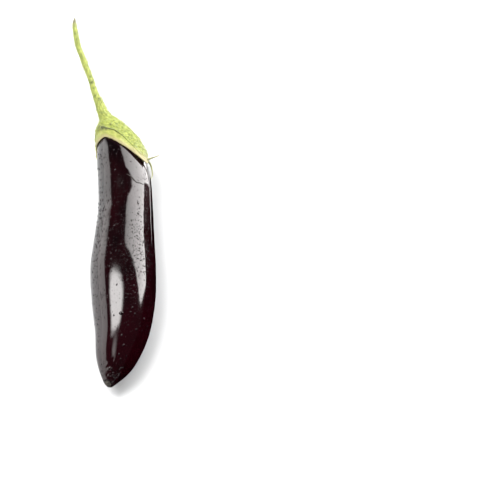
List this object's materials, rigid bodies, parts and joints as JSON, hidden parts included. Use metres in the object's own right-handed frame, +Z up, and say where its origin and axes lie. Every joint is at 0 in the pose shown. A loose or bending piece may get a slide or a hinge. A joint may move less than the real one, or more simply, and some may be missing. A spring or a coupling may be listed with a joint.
{
  "type": "eggplant",
  "caption": "Long slender eggplant as picked, lying on its side: glossy dark fruit with a pointed blossom end, a lobed fleshy calyx and a long thin stalk.",
  "frame": {"origin": "middle of the small flat spot under the belly that the fruit rests on, level with the table", "axes": "+Z up from the table, +Y along the fruit towards the stalk, +X to the side that the calyx's long lobe is on"},
  "size_m": [0.0682, 0.2836, 0.0412],
  "materials": {
    "skin": "wet, smooth and very glossy",
    "green": "fleshy, finely hairy, satin to matte"
  },
  "bodies": {
    "root": {"fruit": "skin", "calyx_and_stalk": "green"}
  },
  "joints": []
}
